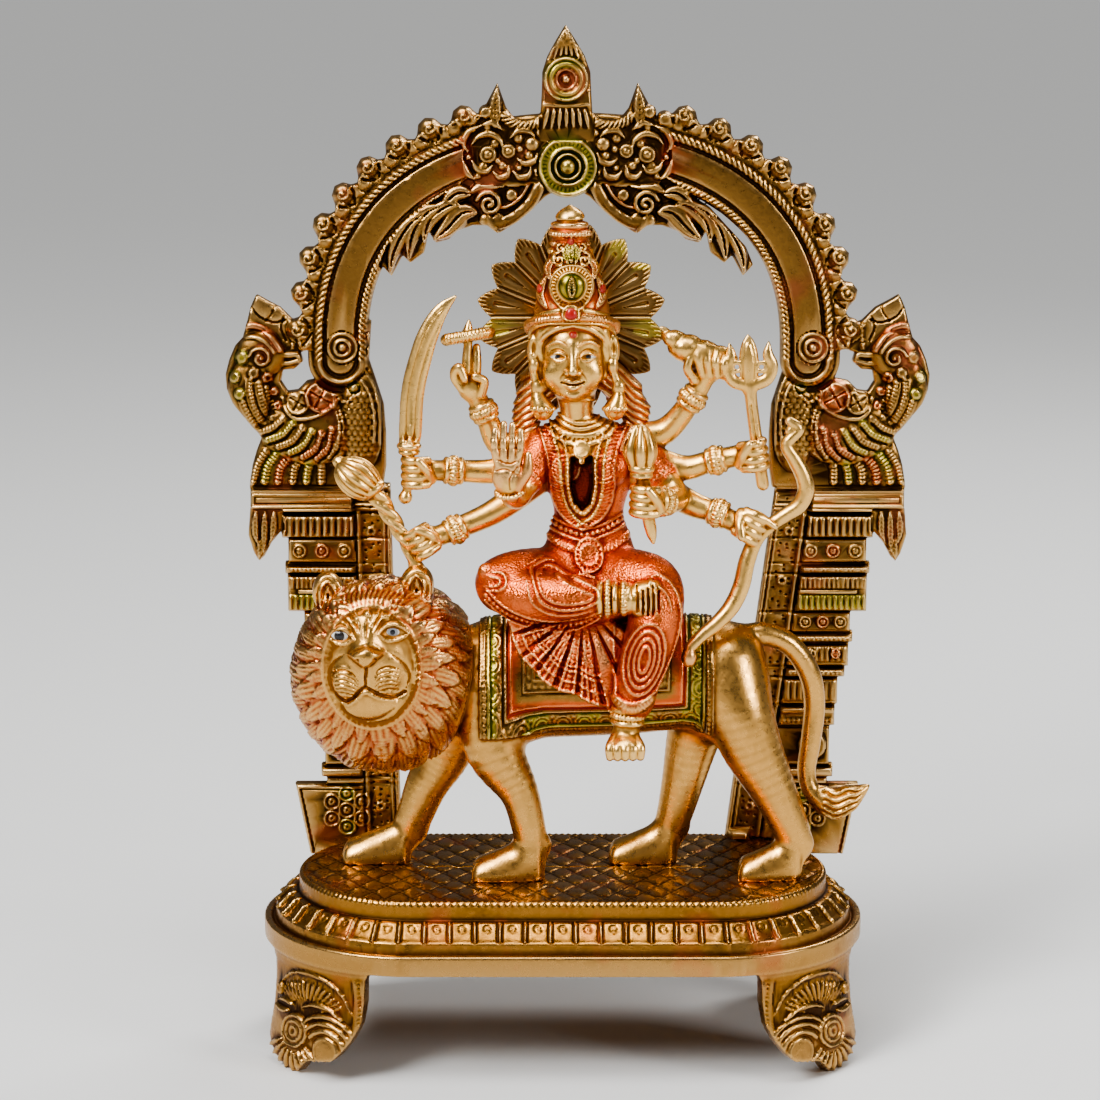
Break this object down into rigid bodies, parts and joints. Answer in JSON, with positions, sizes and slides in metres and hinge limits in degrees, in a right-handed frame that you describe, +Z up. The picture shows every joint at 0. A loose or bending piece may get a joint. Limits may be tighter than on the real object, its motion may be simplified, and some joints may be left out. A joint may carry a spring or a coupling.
{
  "type": "durga figure",
  "caption": "Cast brass figure of an eight-armed goddess seated on a lion, under an ornamental arch with birds, on an oval footed plinth.",
  "frame": {"origin": "centre of the bounding box, at the level of the feet", "axes": "+Z up, the front faces -Y, the lion walks towards -X"},
  "size_m": [0.2504, 0.109, 0.3562],
  "materials": {
    "plinth_brass": "antiqued, thinly lacquered brown and gold",
    "lion_brass": "satin gold, with coppery lacquer on the mane",
    "goddess_lacquer": "copper red lacquer over brass, skin in satin gold",
    "halo_brass": "dark antiqued olive",
    "arch_brass": "antiqued olive gold with dark recesses"
  },
  "bodies": {
    "root": {"plinth": "plinth_brass", "lion": "lion_brass", "goddess": "goddess_lacquer", "halo": "halo_brass", "arch": "arch_brass"}
  },
  "joints": []
}
